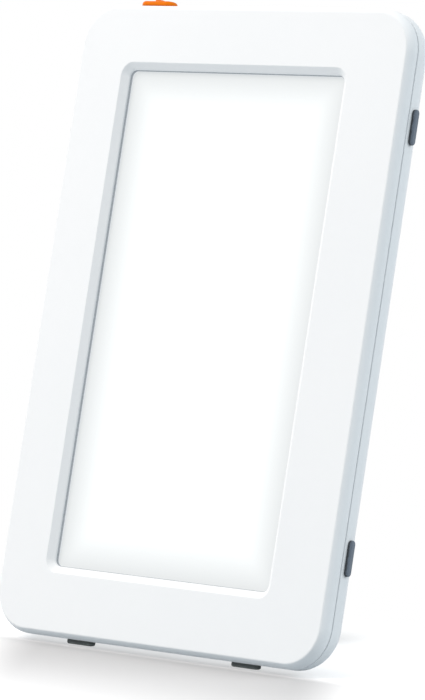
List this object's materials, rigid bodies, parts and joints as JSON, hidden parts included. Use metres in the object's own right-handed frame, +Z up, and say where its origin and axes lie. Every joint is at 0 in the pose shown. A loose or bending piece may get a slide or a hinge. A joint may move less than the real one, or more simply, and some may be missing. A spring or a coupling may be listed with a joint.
{
  "type": "light therapy lamp",
  "caption": "Tablet-shaped light therapy lamp: lit window in a thin white casing, push button on top, rubber feet on two edges and a folding leg on a hub that turns.",
  "frame": {"origin": "on the table, under the middle of the standing lamp's box", "axes": "+Z up, -Y the side that the lit window faces, +X to the right of someone who faces the window"},
  "size_m": [0.1576, 0.0774, 0.2332],
  "materials": {
    "casing_white": "satin",
    "stand_white": "satin",
    "foot_rubber": "matte",
    "gasket_foam": "matte",
    "diffuser": "satin",
    "film": "matte",
    "light_guide": "clear",
    "frame_white": "matte",
    "rail_aluminium": "satin",
    "plate_aluminium": "brushed",
    "strip_board": "satin",
    "led": "satin",
    "green_board": "satin",
    "black_plastic": "satin",
    "ferrite": "matte",
    "capacitor_can": "satin",
    "connector_white": "satin",
    "stem_white": "satin",
    "lead_black": "satin",
    "lead_red": "satin",
    "washer_plastic": "satin",
    "screw_steel": "satin",
    "ring_steel": "satin",
    "pin_steel": "polished",
    "button_orange": "satin"
  },
  "bodies": {
    "lamp": {"front_casing": "casing_white", "rear_casing": "casing_white", "bottom_foot_left": "foot_rubber", "bottom_foot_right": "foot_rubber", "side_foot_lower": "foot_rubber", "side_foot_upper": "foot_rubber", "window_gasket": "gasket_foam", "diffuser_panel": "diffuser", "diffuser_film": "film", "light_guide": "light_guide", "reflector_sheet": "film", "light_frame": "frame_white", "led_rail_left": "rail_aluminium", "led_rail_right": "rail_aluminium", "led_strip_left": "strip_board", "led_strip_right": "strip_board", "leds_left": "led", "leds_right": "led", "back_plate": "plate_aluminium", "driver_board": "green_board", "dc_jack": "black_plastic", "driver_choke": "ferrite", "driver_capacitors": "capacitor_can", "driver_chips": "black_plastic", "lead_connectors": "connector_white", "switch_board": "green_board", "push_switch": "black_plastic", "switch_lead": "lead_black", "led_lead_left": "lead_red", "led_lead_right": "lead_red", "friction_washer": "washer_plastic", "case_screws": "screw_steel", "plate_screws": "screw_steel", "driver_screws": "screw_steel", "switch_screws": "screw_steel"},
    "button": {"power_button": "button_orange", "switch_stem": "stem_white"},
    "stand_hub": {"stand_hub": "stand_white", "retaining_ring": "ring_steel", "hub_screws": "screw_steel", "hinge_pin": "pin_steel", "hinge_washers": "washer_plastic"},
    "stand_leg": {"stand_leg": "stand_white", "leg_pad": "foot_rubber"}
  },
  "joints": [
    {"name": "button_press", "type": "slide", "parent": "lamp", "child": "button", "axis": [0, -0.2317, -0.9728], "range_m": [0, 0.0005], "stiffness_N_per_m": 400, "springref_m": -0.0003},
    {"name": "stand_swivel", "type": "hinge", "parent": "lamp", "child": "stand_hub", "pos_m": [-0.0007, -0.00556, 0.07538], "axis": [0, -0.9728, 0.2317], "range_deg": [0, 90]},
    {"name": "stand_fold", "type": "hinge", "parent": "stand_hub", "child": "stand_leg", "pos_m": [-0.0007, 0.00698, 0.10735], "axis": [-1, 0, 0], "range_deg": [0, 28.7]}
  ]
}
